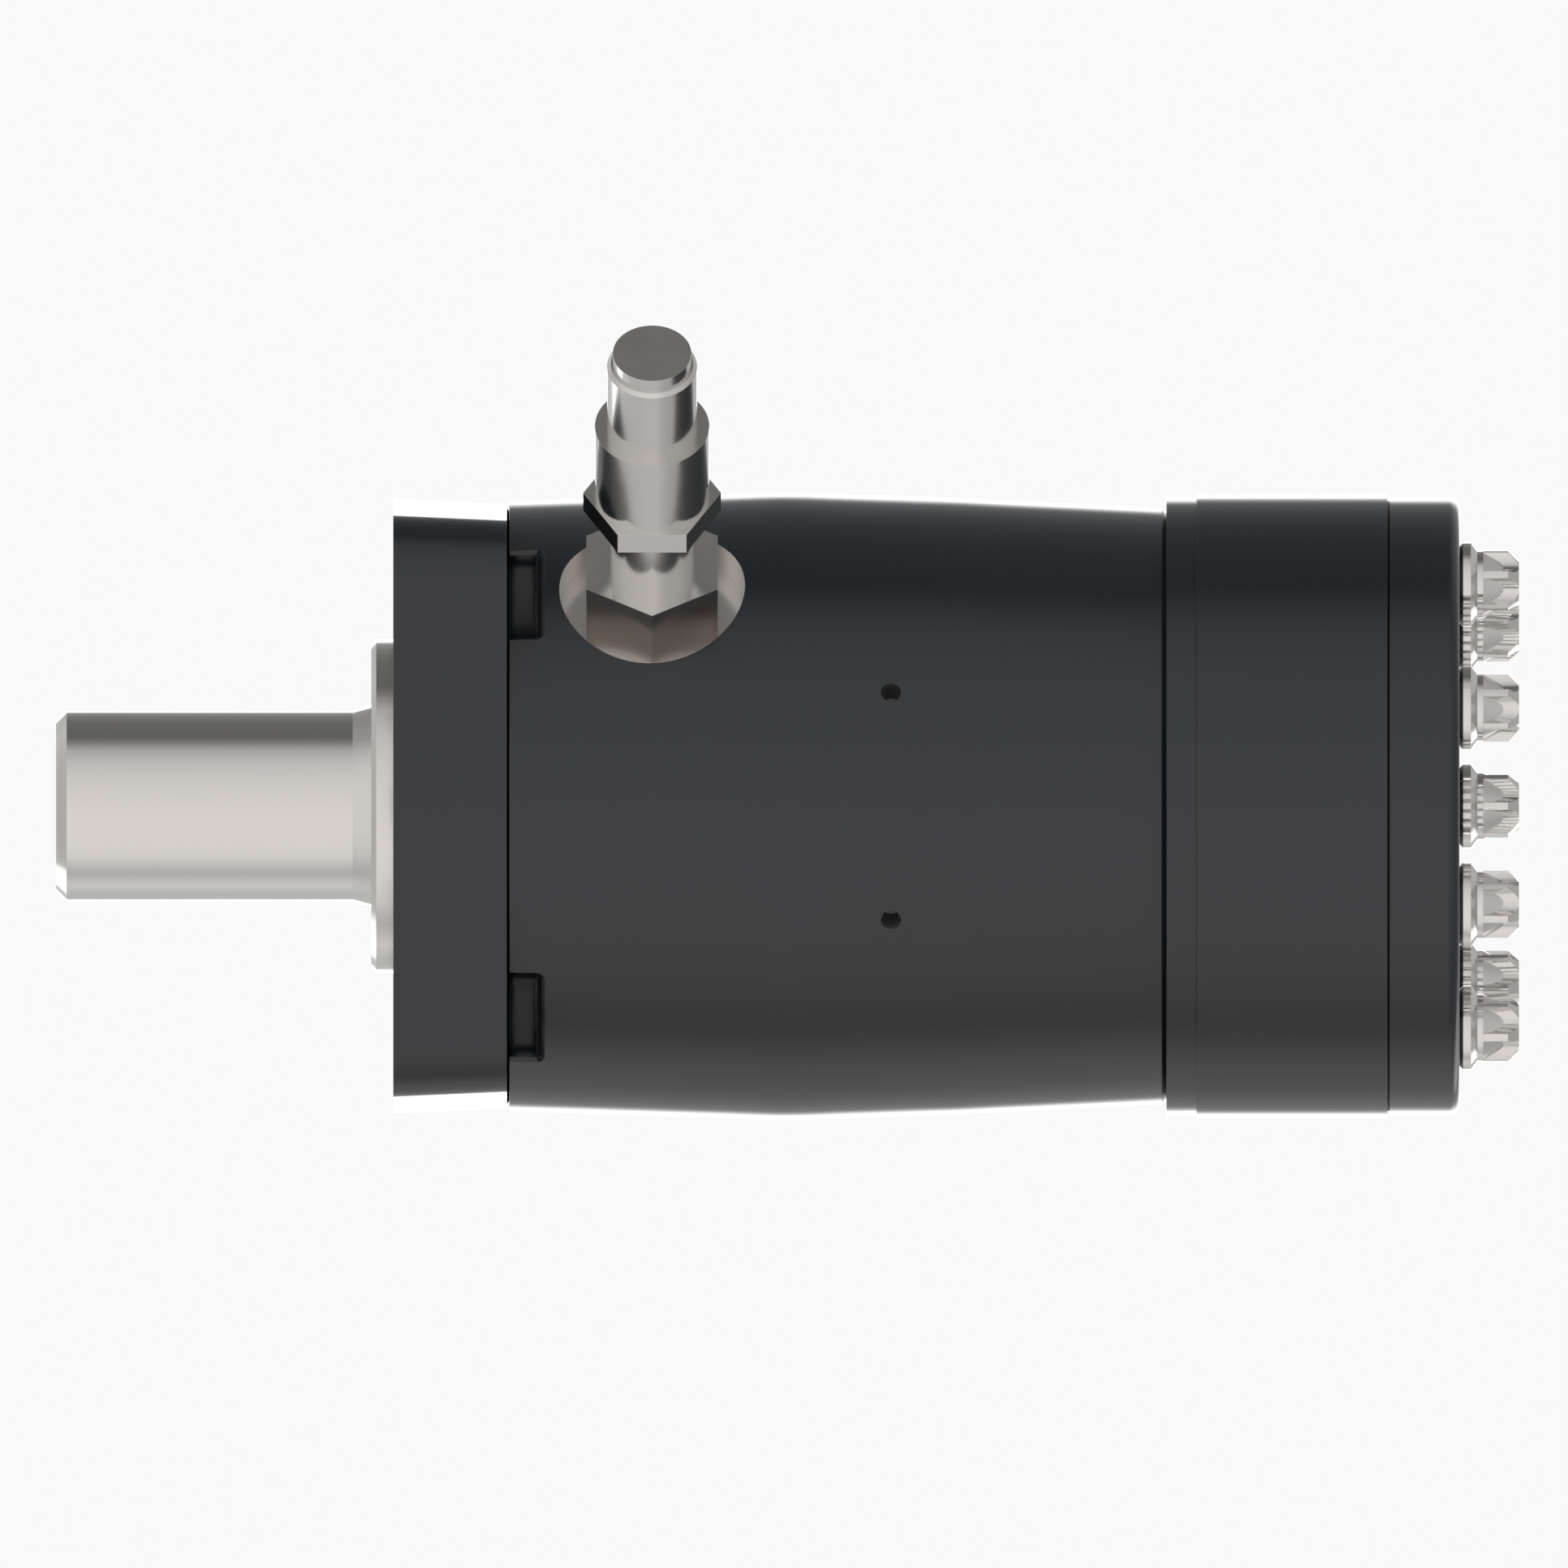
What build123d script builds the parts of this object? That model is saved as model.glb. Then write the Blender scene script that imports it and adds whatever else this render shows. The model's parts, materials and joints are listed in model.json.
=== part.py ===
from build123d import *
import cmath
import math
import os

# Orbital hydraulic motor: a roller gerotor motor whose spool valve is cut in its output shaft.
# Millimetres. The motor lies along X with its shaft pointing to -X, and Z is up. The origin is the
# centre of the mounting face. One port leans 45 degrees forwards, the other 45 degrees backwards.

# Clearances: between turning pieces, between seated pieces, at each side of a captive piece, under a
# seal's lip, and round a piece that lies loose in its pocket
running_clearance = 0.03
seat_clearance = 0.02
side_clearance = 0.02
lip_clearance = 0.06
loose_clearance = 0.2

# Mounting flange
flange_thickness = 15.13
flange_radius = 40.9
flange_draft = 0.68
lobe_radius = 9.67
bolt_circle = 82.55
bolt_count = 4
bolt_angle = 45
bolt_hole_radius = 5.2
pilot_radius = 22.2
pilot_height = 2.92
pilot_chamfer = 0.65

# Output shaft
shaft_radius = 12.7
shaft_projection = 44.9
shaft_chamfer = 1.4
flare_start = 5.4
flare_angle = 16
flare_rise = 1.6
end_tap_radius = 3.2
end_tap_depth = 20
key_width = 6.35
key_disc_radius = 12.7
key_stand = 3.18
key_depth = 7.92
key_centre_from_tip = 20

# Seals and thrust bearing inside the flange
dust_seal_wall = 2.5
dust_seal_width = 3.8
dust_seal_recess = 0.6
seal_pocket_wall = 5.9
seal_pocket_start = 4.2
shaft_seal_width = 5.8
seal_lip_width = 0.6
backup_thickness = 1.6
race_thickness = 1.6
race_bore_gap = 0.7
turning_race_margin = 1.5
needle_radius = 1.25
needle_length = 5.2
needle_count = 16
cage_thickness = 2.2
cage_inner_margin = 1.0
cage_outer_margin = 0.6
cage_rim = 1.1

# Flange screws, with heads sunk in the mounting face
flange_screw_count = 4
flange_screw_radius = 3.0
flange_screw_wall = 1.3
flange_screw_grip = 13.4
socket_head_radius = 5.0
socket_head_height = 6.0
socket_across_flats = 5.0
socket_depth = 3.0
head_recess = 0.6

# Housing
housing_length = 87.87
ridge_rise = 0.27
ridge_station = 52.4
ridge_rounding = 60
front_draft_drop = 1.2
shoulder_station = 75.0
shoulder_drop = 0.76
back_draft_drop = 2.1
housing_back_chamfer = 0.64
seam_depth = 0.33
seam_width = 2.54
bolt_relief_radius = 8.1
bolt_relief_depth = 4.6
bolt_relief_rounding = 0.8
bolt_relief_chamfer = 0.45
pin_hole_radius = 1.31
pin_hole_depth = 6
pin_hole_station = 66.3
pin_hole_angle = 21.5

# Spool valve
spool_radius = 19.0
spool_end_gap = 1.5
groove_width = 6.0
groove_depth = 2.2
front_groove_station = 30.4
rear_groove_station = 59.0
window_station = 44.6
window_length = 7.0
window_width = 3.0
slot_width = 3.2
slot_overlap = 3.0
slot_count = 6
passage_radius = 2.0
passage_wall = 1.57

# Ports and their fittings, with distances from the motor axis
port_station = 34.48
port_angle = 45
pocket_radius = 12.38
pocket_floor = 36.3
port_thread_radius = 7.14
port_thread_depth = 11.5
port_drill_radius = 6.4
port_drill_overlap = 1.1
port_seal_ledge = 0.86
port_seal_height = 1.8
feed_radius = 2.2
cored_radius = 2.5
cored_wall = 2.07
lower_hex_flats = 17.46
lower_hex_height = 9.6
neck_radius = 5.56
neck_length = 9.8
upper_hex_flats = 15.88
upper_hex_height = 3.3
lower_stem_radius = 7.62
lower_stem_length = 12.6
upper_stem_radius = 6.0
upper_stem_length = 11.66
stem_chamfer = 0.5
tip_radius = 5.23
tip_length = 2.04
fitting_bore_radius = 2.6
spigot_radius = 4.0
spigot_length = 6.0
adapter_thread_length = 10.0
undercut_radius = 6.0

# Gerotor set: seven rollers in the ring round a star of six lobes
roller_count = 7
roller_radius = 5.6
eccentricity = 2.55
gerotor_width = 25.4
star_tip_gap = 0.33
flank_arcs = 6
flank_grading = 1.5

# Spacer plate and end cover
plate_thickness = 4.02
plate_margin = 0.38
plate_bore_radius = 13.0
cover_thickness = 9.6
cover_margin = 0.37
cover_corner = 1.45
cover_rebate_width = 0.28
cover_rebate_depth = 0.55

# Square seal rings of the flange, the plate, the gerotor ring and the cover
flange_ring_wall = 1.0
stack_ring_wall = 0.93
stack_rim = 4.11
seal_ring_width = 1.9
seal_ring_thickness = 1.2

# Cover screws, with flanged heads of six external lobes, and the walls between them and their neighbours
screw_passage_wall = 1.67
screw_ring_wall = 1.97
cover_screw_radius = 4.0
cover_screw_thread = 18.0
tap_run_out = 2.0
screw_hole_gap = 0.3
head_flange_radius = 5.65
head_flange_height = 1.04
head_underside = 0.48
head_cone_height = 0.86
head_collar_radius = 4.48
head_collar_height = 0.78
head_lobe_radius = 4.54
head_lobe_height = 4.76
head_end_chamfer = 1.46
head_valley_radius = 2.0
head_valley_circle = 5.01
run_out_radius = 3.05
run_out_length = 2.65

# Drive link and its splines
link_pivot_station = 48.0
link_shank_step = 0.7
link_end_radius = 6.5
link_end_length = 2.0
crown_length = 12.0
crown_drop = 0.2
spline_teeth = 12
tooth_root_radius = 9.0
tooth_tip_radius = 11.0
tooth_width = 2.4
spline_flank_gap = 0.28
spline_root_gap = 0.45
spline_tip_gap = 0.6
spline_run_out = 3.0
spool_bore_radius = 14.4
link_spacer_margin = 0.25
link_end_play = 1.1

# Radii that follow from the sizes above
journal_radius = shaft_radius + flare_rise
race_inner_radius = journal_radius + race_bore_gap
dust_seal_radius = race_inner_radius + dust_seal_wall
seal_pocket_radius = race_inner_radius + seal_pocket_wall
cage_inner_radius = race_inner_radius + cage_inner_margin
cage_outer_radius = cage_inner_radius + needle_length + 2 * cage_rim
needle_circle = (cage_inner_radius + cage_outer_radius) / 2
race_outer_radius = cage_outer_radius + cage_outer_margin
turning_race_radius = race_outer_radius - turning_race_margin
bearing_pocket_radius = race_outer_radius + loose_clearance
flange_ring_inner = bearing_pocket_radius + flange_ring_wall
flange_screw_hole = flange_screw_radius + loose_clearance
flange_screw_circle = flange_ring_inner + seal_ring_width + flange_screw_wall + flange_screw_hole
housing_bore_radius = spool_radius + running_clearance
passage_circle = housing_bore_radius + passage_wall + passage_radius
cored_circle = housing_bore_radius + cored_wall + cored_radius
port_seal_radius = port_thread_radius + port_seal_ledge
cover_screw_circle = passage_circle + passage_radius + screw_passage_wall + cover_screw_radius
screw_hole_radius = cover_screw_radius + screw_hole_gap
ring_inner_radius = cover_screw_circle - screw_hole_radius - screw_ring_wall
roller_circle = ring_inner_radius - star_tip_gap - 2 * eccentricity + roller_radius + running_clearance
stack_ring_inner = cover_screw_circle + screw_hole_radius + stack_ring_wall
ring_radius = stack_ring_inner + seal_ring_width + stack_rim
plate_radius = ring_radius - plate_margin
cover_radius = ring_radius - cover_margin
ridge_radius = ring_radius + ridge_rise
housing_front_radius = ridge_radius - front_draft_drop
housing_back_radius = ridge_radius - back_draft_drop
seam_land_radius = housing_front_radius - seam_width
link_shank_radius = tooth_root_radius - link_shank_step
spline_minor_radius = tooth_root_radius + spline_root_gap
spline_major_radius = tooth_tip_radius + spline_tip_gap
link_spacer_radius = spline_minor_radius - link_spacer_margin

# Stations along the motor axis that follow from the sizes above
shaft_tip = -shaft_projection
flange_back = flange_thickness
housing_back = flange_back + housing_length
ring_front = housing_back + plate_thickness
ring_back = ring_front + gerotor_width
cover_back = ring_back + cover_thickness
backup_front = seal_pocket_start + shaft_seal_width
race_front = backup_front + backup_thickness
cage_front = race_front + race_thickness
needle_space = 2 * (needle_radius + side_clearance)
turning_race_front = cage_front + needle_space
spool_front = turning_race_front + race_thickness
spool_back = housing_back - spool_end_gap
recess_floor = spool_front + loose_clearance
port_drill_depth = pocket_floor - cored_circle + port_drill_overlap
flare_end = -flare_start + (journal_radius - shaft_radius) / math.tan(math.radians(flare_angle))
star_station = (ring_front + ring_back) / 2
star_lobes = roller_count - 1
link_reach = math.hypot(star_station - link_pivot_station, eccentricity)
link_tilt = math.atan2(eccentricity, star_station - link_pivot_station)
crown_half = crown_length / 2
link_spacer_front = star_station + crown_half + link_end_length + link_end_play
lower_hex_top = pocket_floor + lower_hex_height
upper_hex_base = lower_hex_top + neck_length
upper_hex_top = upper_hex_base + upper_hex_height
stem_shoulder = upper_hex_top + lower_stem_length
stem_end = stem_shoulder + upper_stem_length
key_station = shaft_tip + key_centre_from_tip
key_disc_centre = shaft_radius - key_depth + key_disc_radius


def across(station):
    """The plane across the motor axis at a station: its x is +Y, its y is +Z."""
    return Plane.YZ.offset(station)


def star_plane(station, offset=0.0):
    """The plane across the motor axis whose x points at the first roller, moved along it by offset."""
    return Plane(origin=(station, -offset, 0), x_dir=(0, -1, 0), z_dir=(1, 0, 0))


def port_plane(side, distance):
    """The plane across a port's axis, that far from the motor axis: side -1 leans forwards."""
    lean = math.radians(port_angle)
    outwards = Vector(0, side * math.sin(lean), math.cos(lean))
    return Plane(origin=outwards * distance + Vector(port_station, 0, 0), x_dir=(1, 0, 0), z_dir=outwards)


def turned(*corners):
    """A piece turned about the motor axis from its (station, radius) corners."""
    with BuildPart() as piece:
        with BuildSketch(Plane.XY):
            with BuildLine():
                Polyline(*corners, close=True)
            make_face()
        revolve(axis=Axis.X)
    return piece


def ring(front, back, inner_radius, outer_radius):
    """A plain ring round the motor axis."""
    with BuildPart() as piece:
        with BuildSketch(across(front)):
            Circle(outer_radius)
            Circle(inner_radius, mode=Mode.SUBTRACT)
        extrude(amount=back - front)
    return piece


def seal_ring(front, inner_radius):
    """A square seal ring that fills its groove, from its front face and inner radius."""
    return ring(front, front + seal_ring_thickness, inner_radius + seat_clearance,
                inner_radius + seal_ring_width - seat_clearance)


def write(piece, name):
    """Label a finished piece and write it as a STEP file."""
    piece.part.label = name
    export_step(piece.part, f"parts/{name}.step")


os.makedirs("parts", exist_ok=True)

# Mounting flange: a drafted casting with four bolt lobes and a turned pilot
with BuildPart() as mounting_flange:
    for station, draft in ((0, 0), (flange_back, flange_draft)):
        with BuildSketch(across(station)):
            Circle(flange_radius - draft)
            with PolarLocations(bolt_circle / 2, bolt_count, start_angle=bolt_angle):
                Circle(lobe_radius - draft)
            make_hull()
    loft(ruled=True)
    with BuildSketch(across(-pilot_height)):
        Circle(pilot_radius)
    extrude(amount=pilot_height)
    chamfer(mounting_flange.edges().filter_by(GeomType.CIRCLE).sort_by(Axis.X)[0], pilot_chamfer)
    with BuildSketch(across(0)):
        with PolarLocations(bolt_circle / 2, bolt_count, start_angle=bolt_angle):
            Circle(bolt_hole_radius)
        with PolarLocations(flange_screw_circle, flange_screw_count):
            Circle(flange_screw_hole)
    extrude(amount=flange_back, mode=Mode.SUBTRACT)
    with BuildSketch(across(0)):
        with PolarLocations(flange_screw_circle, flange_screw_count):
            Circle(socket_head_radius + loose_clearance)
    extrude(amount=head_recess + socket_head_height, mode=Mode.SUBTRACT)
    with BuildSketch(Plane.XY):
        with BuildLine():
            Polyline(
                (-pilot_height, 0),
                (-pilot_height, dust_seal_radius + seat_clearance),
                (dust_seal_width - pilot_height + dust_seal_recess, dust_seal_radius + seat_clearance),
                (dust_seal_width - pilot_height + dust_seal_recess, race_inner_radius),
                (seal_pocket_start, race_inner_radius),
                (seal_pocket_start, seal_pocket_radius + seat_clearance),
                (race_front, seal_pocket_radius + seat_clearance),
                (race_front, bearing_pocket_radius),
                (flange_back, bearing_pocket_radius),
                (flange_back, 0),
                close=True,
            )
        make_face()
    revolve(axis=Axis.X, mode=Mode.SUBTRACT)
    with BuildSketch(across(flange_back)):
        Circle(flange_ring_inner + seal_ring_width)
        Circle(flange_ring_inner, mode=Mode.SUBTRACT)
    extrude(amount=-seal_ring_thickness, mode=Mode.SUBTRACT)
write(mounting_flange, "mounting_flange")

write(seal_ring(flange_back - seal_ring_thickness, flange_ring_inner), "flange_seal_ring")

# Dust seal: a wiper whose lip rides on the journal just behind the shaft's flare
dust_seal_front = dust_seal_recess - pilot_height
dust_seal_back = dust_seal_front + dust_seal_width
lip_radius = journal_radius + lip_clearance
write(
    turned(
        (dust_seal_front, dust_seal_radius),
        (dust_seal_back, dust_seal_radius),
        (dust_seal_back, race_inner_radius),
        (flare_end + 2 * seal_lip_width, lip_radius),
        (flare_end + seal_lip_width, lip_radius),
        (dust_seal_front, lip_radius + 2 * seal_lip_width),
    ),
    "dust_seal",
)

# Shaft seal: an open channel with its lip bent back towards the oil
seal_wall = shaft_seal_width / 3
lip_station = seal_pocket_start + shaft_seal_width / 2
write(
    turned(
        (seal_pocket_start, seal_pocket_radius),
        (backup_front, seal_pocket_radius),
        (backup_front, seal_pocket_radius - seal_wall),
        (seal_pocket_start + seal_wall, seal_pocket_radius - seal_wall),
        (seal_pocket_start + seal_wall, lip_radius + seal_wall),
        (lip_station + seal_wall, lip_radius + 2 * seal_lip_width),
        (lip_station + seal_lip_width, lip_radius),
        (lip_station, lip_radius),
        (seal_pocket_start + seal_lip_width, race_inner_radius),
        (seal_pocket_start, race_inner_radius),
    ),
    "shaft_seal",
)
write(ring(backup_front, race_front, race_inner_radius, seal_pocket_radius), "seal_backup_washer")

# Thrust bearing: a still race, a cage of radial needles and a race that turns with the shaft
write(ring(race_front, cage_front, race_inner_radius, race_outer_radius), "front_thrust_race")
write(
    ring(turning_race_front, spool_front, journal_radius + seat_clearance, turning_race_radius),
    "rear_thrust_race",
)
cage_centre = (cage_front + turning_race_front) / 2
with BuildPart() as thrust_cage:
    with BuildSketch(across(cage_centre)):
        Circle(cage_outer_radius)
        Circle(cage_inner_radius, mode=Mode.SUBTRACT)
        with PolarLocations(needle_circle, needle_count):
            Rectangle(
                needle_length + 2 * running_clearance,
                2 * (needle_radius + running_clearance),
                mode=Mode.SUBTRACT,
            )
    extrude(amount=cage_thickness / 2, both=True)
write(thrust_cage, "thrust_cage")

with BuildPart(across(cage_centre)) as thrust_needles:
    with PolarLocations(needle_circle, needle_count):
        Cylinder(needle_radius, needle_length, rotation=(0, 90, 0))
write(thrust_needles, "thrust_needles")

# Flange screw: a socket cap screw with its axis on Z and its seat at the origin
with BuildPart() as flange_screw:
    with BuildSketch(Plane.XY):
        Circle(socket_head_radius)
    extrude(amount=socket_head_height)
    with BuildSketch(Plane.XY):
        Circle(flange_screw_radius)
    extrude(amount=-(flange_screw_grip + flange_back - head_recess - socket_head_height))
    with BuildSketch(Plane.XY.offset(socket_head_height)):
        RegularPolygon(socket_across_flats / 2, 6, major_radius=False)
    extrude(amount=-socket_depth, mode=Mode.SUBTRACT)

screw_seat = Plane(origin=(head_recess + socket_head_height, 0, 0), x_dir=(0, 1, 0), z_dir=(-1, 0, 0))
with BuildPart(screw_seat) as flange_screws:
    with PolarLocations(flange_screw_circle, flange_screw_count):
        add(flange_screw.part)
write(flange_screws, "flange_screws")

# Output shaft and spool valve in one piece
with BuildPart() as output_shaft:
    with BuildSketch(Plane.XY):
        with BuildLine():
            Polyline(
                (shaft_tip, 0),
                (shaft_tip, shaft_radius - shaft_chamfer),
                (shaft_tip + shaft_chamfer, shaft_radius),
                (-flare_start, shaft_radius),
                (flare_end, journal_radius),
                (spool_front, journal_radius),
                (spool_front, spool_radius),
                (spool_back, spool_radius),
                (spool_back, 0),
                close=True,
            )
        make_face()
    revolve(axis=Axis.X)
    # Two ring grooves, each fed by one port
    for station in (front_groove_station, rear_groove_station):
        with BuildSketch(across(station)):
            Circle(spool_radius + groove_depth)
            Circle(spool_radius - groove_depth, mode=Mode.SUBTRACT)
        extrude(amount=groove_width / 2, both=True, mode=Mode.SUBTRACT)
    # Timing slots from each ring groove to the windows, by turns
    slot_runs = (
        (front_groove_station, window_station + slot_overlap, 1),
        (window_station - slot_overlap, rear_groove_station, 3),
    )
    for start, end, quarter in slot_runs:
        with BuildSketch(across(start)):
            with PolarLocations(spool_radius, slot_count, start_angle=quarter * 90 / slot_count):
                Rectangle(2 * groove_depth, slot_width)
        extrude(amount=end - start, mode=Mode.SUBTRACT)
    # Hollow for the drive link, with the internal spline at its blind end
    link_hollow = link_pivot_station + crown_half + crown_drop
    spline_end = link_pivot_station - crown_half - spline_run_out
    with BuildSketch(across(link_hollow)):
        Circle(spool_bore_radius)
    extrude(amount=spool_back - link_hollow, mode=Mode.SUBTRACT)
    with BuildSketch(across(spline_end)):
        Circle(spline_minor_radius)
        with PolarLocations(spline_major_radius / 2, spline_teeth):
            Rectangle(spline_major_radius, tooth_width + 2 * spline_flank_gap)
    extrude(amount=link_hollow - spline_end, mode=Mode.SUBTRACT)
    # Keyseat on the far side and a tapped hole in the end
    with BuildSketch(Plane.XY):
        with Locations((key_station, key_disc_centre)):
            Circle(key_disc_radius + seat_clearance)
    extrude(amount=key_width / 2 + seat_clearance, both=True, mode=Mode.SUBTRACT)
    with BuildSketch(across(shaft_tip)):
        Circle(end_tap_radius)
    extrude(amount=end_tap_depth, mode=Mode.SUBTRACT)
write(output_shaft, "output_shaft")

with BuildPart() as shaft_key:
    with BuildSketch(Plane.XY):
        with Locations((key_station, key_disc_centre)):
            Circle(key_disc_radius)
        with Locations((key_station, shaft_radius + key_stand)):
            Rectangle(
                2 * key_disc_radius,
                2 * key_disc_radius,
                align=(Align.CENTER, Align.MIN),
                mode=Mode.SUBTRACT,
            )
    extrude(amount=key_width / 2, both=True)
write(shaft_key, "shaft_key")

# Housing: a casting whose drafts meet at a soft ridge, the rear one steeper past a shoulder
with BuildPart() as housing:
    with BuildSketch(Plane.XY) as housing_section:
        with BuildLine():
            Polyline(
                (flange_back, bearing_pocket_radius),
                (flange_back, seam_land_radius),
                (flange_back + seam_depth, seam_land_radius),
                (flange_back + seam_depth, housing_front_radius),
                (ridge_station, ridge_radius),
                (shoulder_station, ridge_radius - shoulder_drop),
                (housing_back - housing_back_chamfer, housing_back_radius),
                (housing_back, housing_back_radius - housing_back_chamfer),
                (housing_back, housing_bore_radius),
                (recess_floor, housing_bore_radius),
                (recess_floor, bearing_pocket_radius),
                close=True,
            )
        make_face()
        fillet(housing_section.vertices().sort_by(Axis.Y)[-1], ridge_rounding)
    revolve(axis=Axis.X)
    # Half-round reliefs behind the bolt holes
    with BuildSketch(across(flange_back)):
        with PolarLocations(bolt_circle / 2, bolt_count, start_angle=bolt_angle):
            Circle(bolt_relief_radius)
    extrude(amount=bolt_relief_depth, mode=Mode.SUBTRACT)
    relief_floors = housing.faces().filter_by(Axis.X).filter_by_position(
        Axis.X, flange_back + bolt_relief_depth - side_clearance, flange_back + bolt_relief_depth + side_clearance
    )
    relief_corners = relief_floors.edges().filter_by(
        lambda edge: edge.geom_type == GeomType.CIRCLE
        and abs(edge.radius - bolt_relief_radius) < side_clearance
    )
    fillet(relief_corners, bolt_relief_rounding)
    front_draft = housing.faces().filter_by(GeomType.CONE).sort_by(Axis.X)[0]
    relief_rims = front_draft.edges().filter_by_position(
        Axis.X, flange_back + seam_depth + side_clearance, flange_back + bolt_relief_depth + side_clearance
    )
    chamfer(relief_rims, bolt_relief_chamfer)
    # Tapped holes for the screws at both ends
    with BuildSketch(across(flange_back)):
        with PolarLocations(flange_screw_circle, flange_screw_count):
            Circle(flange_screw_radius + seat_clearance)
    extrude(amount=flange_screw_grip + tap_run_out, mode=Mode.SUBTRACT)
    with BuildSketch(across(housing_back)):
        with PolarLocations(cover_screw_circle, roller_count):
            Circle(cover_screw_radius + seat_clearance)
    extrude(amount=-(cover_screw_thread + tap_run_out), mode=Mode.SUBTRACT)
    # Seven windows in the bore, each with its passage back to a gerotor chamber
    with BuildSketch(across(window_station)):
        with PolarLocations(passage_circle, roller_count):
            Circle(passage_radius)
    extrude(amount=housing_back - window_station, mode=Mode.SUBTRACT)
    with BuildSketch(across(window_station)):
        with PolarLocations(housing_bore_radius - groove_depth, roller_count):
            Rectangle(
                passage_circle + groove_depth - housing_bore_radius,
                window_width,
                align=(Align.MIN, Align.CENTER),
            )
    extrude(amount=window_length / 2, both=True, mode=Mode.SUBTRACT)
    # Ports: a spot-faced pocket, a seat for the seal ring, the thread and the drill below it
    for side in (-1, 1):
        with BuildSketch(port_plane(side, pocket_floor)):
            Circle(pocket_radius)
        extrude(amount=pocket_radius, mode=Mode.SUBTRACT)
        with BuildSketch(port_plane(side, pocket_floor)):
            Circle(port_seal_radius + loose_clearance)
        extrude(amount=-port_seal_height, mode=Mode.SUBTRACT)
        with BuildSketch(port_plane(side, pocket_floor)):
            Circle(port_thread_radius)
        extrude(amount=-port_thread_depth, mode=Mode.SUBTRACT)
        with BuildSketch(port_plane(side, pocket_floor)):
            Circle(port_drill_radius)
        extrude(amount=-port_drill_depth, mode=Mode.SUBTRACT)
    # The rear port's feed drops straight into the front ring groove
    with BuildSketch(port_plane(1, pocket_floor - port_drill_depth)):
        with Locations((front_groove_station - port_station, 0)):
            Circle(feed_radius)
    extrude(amount=spool_radius - groove_depth - pocket_floor + port_drill_depth, mode=Mode.SUBTRACT)
    # The front port's cored passage runs back to the rear ring groove
    cored_origin = port_plane(-1, cored_circle).origin
    with BuildSketch(Plane(origin=cored_origin, x_dir=(0, 1, 0), z_dir=(1, 0, 0))):
        Circle(cored_radius)
    extrude(amount=rear_groove_station - port_station, mode=Mode.SUBTRACT)
    with BuildSketch(port_plane(-1, cored_circle)):
        with Locations((rear_groove_station - port_station, 0)):
            Circle(cored_radius)
    extrude(amount=spool_radius - groove_depth - cored_circle, mode=Mode.SUBTRACT)
    # Two blind pin holes low and high on the front side
    for angle in (-pin_hole_angle, pin_hole_angle):
        lean = math.radians(angle)
        outwards = Vector(0, -math.cos(lean), math.sin(lean))
        start = outwards * ridge_radius + Vector(pin_hole_station, 0, 0)
        with BuildSketch(Plane(origin=start, x_dir=(1, 0, 0), z_dir=outwards)):
            Circle(pin_hole_radius)
        extrude(amount=-pin_hole_depth, mode=Mode.SUBTRACT)
write(housing, "housing")

# Port fittings: an adapter with a lower hexagon and neck, and a stepped stem with an upper hexagon
for side, port in ((-1, "a"), (1, "b")):
    with BuildPart() as adapter:
        with BuildSketch(port_plane(side, pocket_floor)):
            RegularPolygon(lower_hex_flats / 2, 6, major_radius=False, rotation=90)
        extrude(amount=lower_hex_height)
        with BuildSketch(port_plane(side, lower_hex_top)):
            Circle(neck_radius)
        extrude(amount=neck_length)
        with BuildSketch(port_plane(side, upper_hex_base)):
            Circle(spigot_radius)
        extrude(amount=spigot_length)
        with BuildSketch(port_plane(side, pocket_floor)):
            Circle(undercut_radius - seat_clearance)
        extrude(amount=-port_seal_height)
        with BuildSketch(port_plane(side, pocket_floor - port_seal_height)):
            Circle(port_thread_radius - seat_clearance)
        extrude(amount=port_seal_height - adapter_thread_length)
        with BuildSketch(port_plane(side, pocket_floor - adapter_thread_length)):
            Circle(fitting_bore_radius)
        extrude(amount=upper_hex_base + spigot_length - pocket_floor + adapter_thread_length,
                mode=Mode.SUBTRACT)
    write(adapter, f"port_adapter_{port}")

    with BuildPart() as port_seal:
        with BuildSketch(port_plane(side, pocket_floor)):
            Circle(port_seal_radius)
            Circle(undercut_radius, mode=Mode.SUBTRACT)
        extrude(amount=-(port_seal_height - side_clearance))
    write(port_seal, f"port_seal_{port}")

    with BuildPart() as stem:
        with BuildSketch(port_plane(side, upper_hex_base)):
            RegularPolygon(upper_hex_flats / 2, 6, major_radius=False, rotation=0)
        extrude(amount=upper_hex_height)
        with BuildSketch(port_plane(side, upper_hex_top)):
            Circle(lower_stem_radius)
        extrude(amount=lower_stem_length)
        with BuildSketch(port_plane(side, stem_shoulder)):
            Circle(upper_stem_radius)
        extrude(amount=upper_stem_length)
        stem_rim = stem.faces().filter_by(GeomType.PLANE).sort_by(Axis.Z)[-1].edges()
        chamfer(stem_rim, stem_chamfer)
        with BuildSketch(port_plane(side, stem_end)):
            Circle(tip_radius)
        extrude(amount=tip_length)
        with BuildSketch(port_plane(side, upper_hex_base)):
            Circle(spigot_radius + seat_clearance)
        extrude(amount=spigot_length + side_clearance, mode=Mode.SUBTRACT)
        with BuildSketch(port_plane(side, upper_hex_base)):
            Circle(fitting_bore_radius)
        extrude(amount=stem_end - upper_hex_base, mode=Mode.SUBTRACT)
    write(stem, f"port_stem_{port}")

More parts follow.
